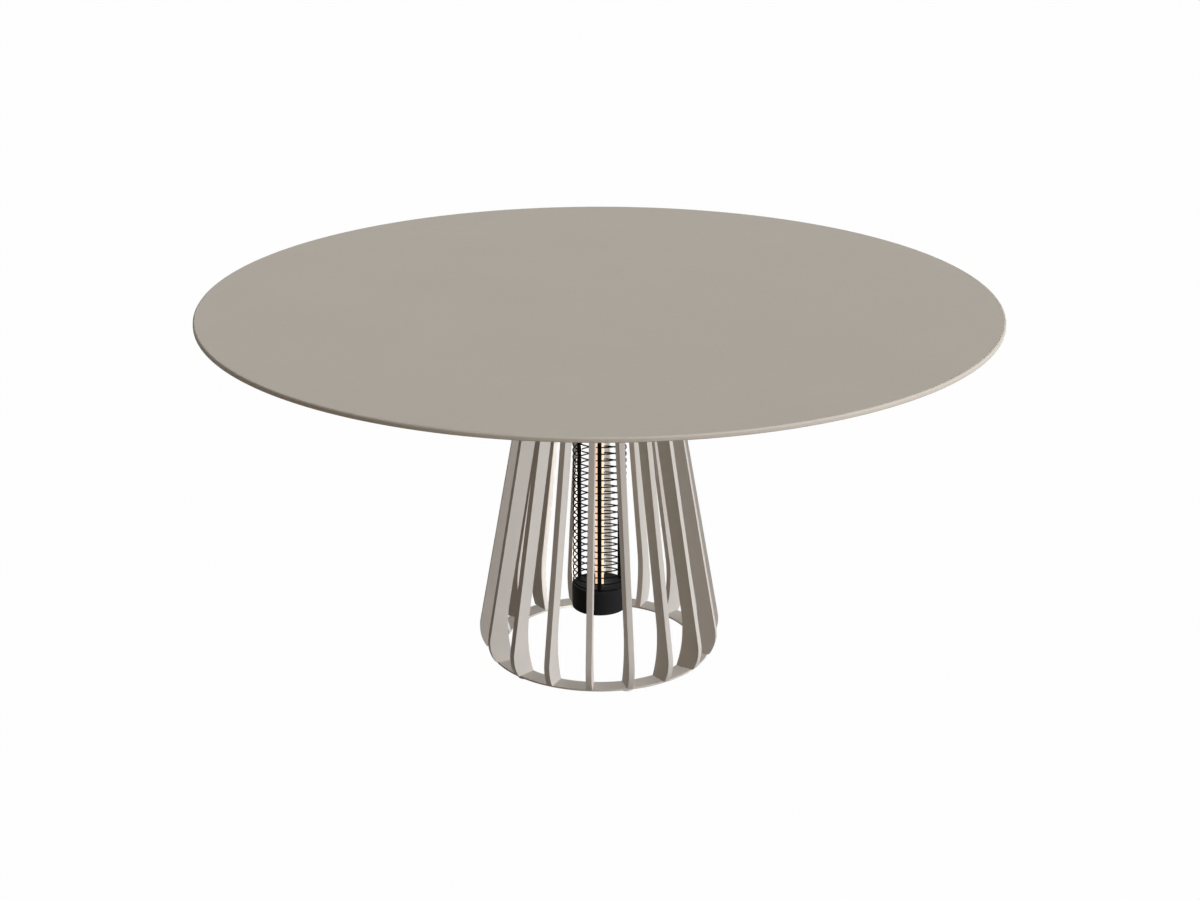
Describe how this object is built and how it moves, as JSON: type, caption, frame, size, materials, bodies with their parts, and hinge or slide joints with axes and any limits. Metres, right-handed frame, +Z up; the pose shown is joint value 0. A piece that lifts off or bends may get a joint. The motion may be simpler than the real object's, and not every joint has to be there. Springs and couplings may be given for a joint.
{
  "type": "round dining table",
  "caption": "Round outdoor dining table with a thin disc top on a tapering pedestal of upright fins that holds an infrared tube heater, on levelling feet.",
  "frame": {"origin": "on the floor, under the middle of the tabletop", "axes": "+Z up; the pictured front faces -Y; the tabletop's axis is Z"},
  "size_m": [1.5998, 1.5998, 0.75],
  "materials": {
    "tabletop": "matte compact laminate",
    "taupe_steel": "fine textured powder coat",
    "taupe_aluminium": "fine textured powder coat",
    "black_casting": "matte black coat",
    "black_guard": "satin black coat",
    "lamp_glass": "clear polished",
    "glowing_core": "glowing warm",
    "ceramic": "unglazed ceramic",
    "black_plastic": "moulded",
    "pale_glide": "moulded",
    "plain_steel": "zinc plated"
  },
  "bodies": {
    "table": {"tabletop": "tabletop", "top_screws": "plain_steel", "hub_plate": "taupe_steel", "base_ring": "taupe_steel", "heater_housing": "black_casting", "heater_screws": "plain_steel", "guard_rods": "black_guard", "guard_wire": "black_guard", "lamp_tube": "lamp_glass", "heating_core": "glowing_core", "upper_lamp_holder": "ceramic", "lower_lamp_holder": "ceramic", "lower_cap": "black_casting", "lower_plug": "black_casting", "terminal_block": "black_plastic", "cable_gland": "black_plastic", "gland_nut": "black_plastic", "support_arm_1": "taupe_aluminium", "support_arm_2": "taupe_aluminium", "support_arm_3": "taupe_aluminium", "support_arm_4": "taupe_aluminium", "support_arm_5": "taupe_aluminium", "support_arm_6": "taupe_aluminium", "fin_01": "taupe_aluminium", "fin_02": "taupe_aluminium", "fin_03": "taupe_aluminium", "fin_04": "taupe_aluminium", "fin_05": "taupe_aluminium", "fin_06": "taupe_aluminium", "fin_07": "taupe_aluminium", "fin_08": "taupe_aluminium", "fin_09": "taupe_aluminium", "fin_10": "taupe_aluminium", "fin_11": "taupe_aluminium", "fin_12": "taupe_aluminium", "fin_13": "taupe_aluminium", "fin_14": "taupe_aluminium", "fin_15": "taupe_aluminium", "fin_16": "taupe_aluminium", "fin_17": "taupe_aluminium", "fin_18": "taupe_aluminium"},
    "foot_1": {"foot_pad_1": "pale_glide", "foot_stem_1": "plain_steel"},
    "foot_2": {"foot_pad_2": "pale_glide", "foot_stem_2": "plain_steel"},
    "foot_3": {"foot_pad_3": "pale_glide", "foot_stem_3": "plain_steel"},
    "foot_4": {"foot_pad_4": "pale_glide", "foot_stem_4": "plain_steel"},
    "foot_5": {"foot_pad_5": "pale_glide", "foot_stem_5": "plain_steel"},
    "foot_6": {"foot_pad_6": "pale_glide", "foot_stem_6": "plain_steel"}
  },
  "joints": [
    {"name": "foot_1_screw", "type": "slide", "parent": "table", "child": "foot_1", "axis": [0, 0, -1], "range_m": [0, 0.008]},
    {"name": "foot_2_screw", "type": "slide", "parent": "table", "child": "foot_2", "axis": [0, 0, -1], "range_m": [0, 0.008]},
    {"name": "foot_3_screw", "type": "slide", "parent": "table", "child": "foot_3", "axis": [0, 0, -1], "range_m": [0, 0.008]},
    {"name": "foot_4_screw", "type": "slide", "parent": "table", "child": "foot_4", "axis": [0, 0, -1], "range_m": [0, 0.008]},
    {"name": "foot_5_screw", "type": "slide", "parent": "table", "child": "foot_5", "axis": [0, 0, -1], "range_m": [0, 0.008]},
    {"name": "foot_6_screw", "type": "slide", "parent": "table", "child": "foot_6", "axis": [0, 0, -1], "range_m": [0, 0.008]}
  ]
}
